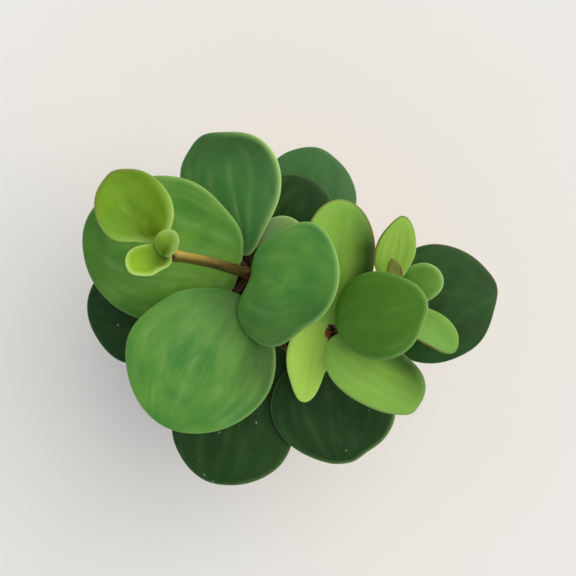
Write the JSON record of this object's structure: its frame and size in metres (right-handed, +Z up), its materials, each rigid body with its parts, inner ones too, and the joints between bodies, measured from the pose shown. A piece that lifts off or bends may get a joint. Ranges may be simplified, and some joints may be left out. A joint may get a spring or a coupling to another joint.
{
  "type": "potted peperomia",
  "caption": "Young peperomia with round, fleshy green leaves on short stems, growing in a small plain clay pot filled with soil.",
  "frame": {"origin": "middle of the pot's flat underside, on the surface that it stands on", "axes": "+Z up; +X to the right and +Y away from the viewer in the usual view from above, the foliage's long side along X"},
  "size_m": [0.0979, 0.0842, 0.0991],
  "materials": {
    "clay": "unglazed fired clay, dry and dull",
    "soil": "crumbly moist potting soil",
    "stem": "smooth reddish brown stem, slightly waxy",
    "bud": "smooth olive brown bud",
    "leaf_dark": "waxy, dark green old leaf",
    "leaf_deep": "waxy, deep green leaf",
    "leaf_mid": "waxy, middle green leaf",
    "leaf_fresh": "waxy, fresh green leaf with a pale rim",
    "leaf_young": "waxy, yellow-green young leaf"
  },
  "bodies": {
    "root": {"pot": "clay", "soil": "soil", "stem_left": "stem", "stem_middle": "stem", "stem_right": "stem", "leaf_left": "leaf_fresh", "leaf_front_left": "leaf_fresh", "leaf_centre": "leaf_mid", "leaf_back": "leaf_deep", "leaf_left_low": "leaf_dark", "leaf_front_left_low": "leaf_dark", "leaf_back_right_low": "leaf_dark", "leaf_back_right": "leaf_dark", "leaf_back_small": "leaf_deep", "young_leaf_large": "leaf_young", "young_leaf_left": "leaf_young", "young_leaf_right": "leaf_young", "leaf_middle_back": "leaf_fresh", "leaf_middle_right": "leaf_mid", "leaf_middle_left": "leaf_young", "leaf_middle_front": "leaf_fresh", "leaf_front_low": "leaf_dark", "sprig_leaf_back": "leaf_fresh", "sprig_bud": "bud", "sprig_leaf_right": "leaf_fresh", "sprig_leaf_front": "leaf_fresh", "leaf_right_low": "leaf_dark"}
  },
  "joints": []
}
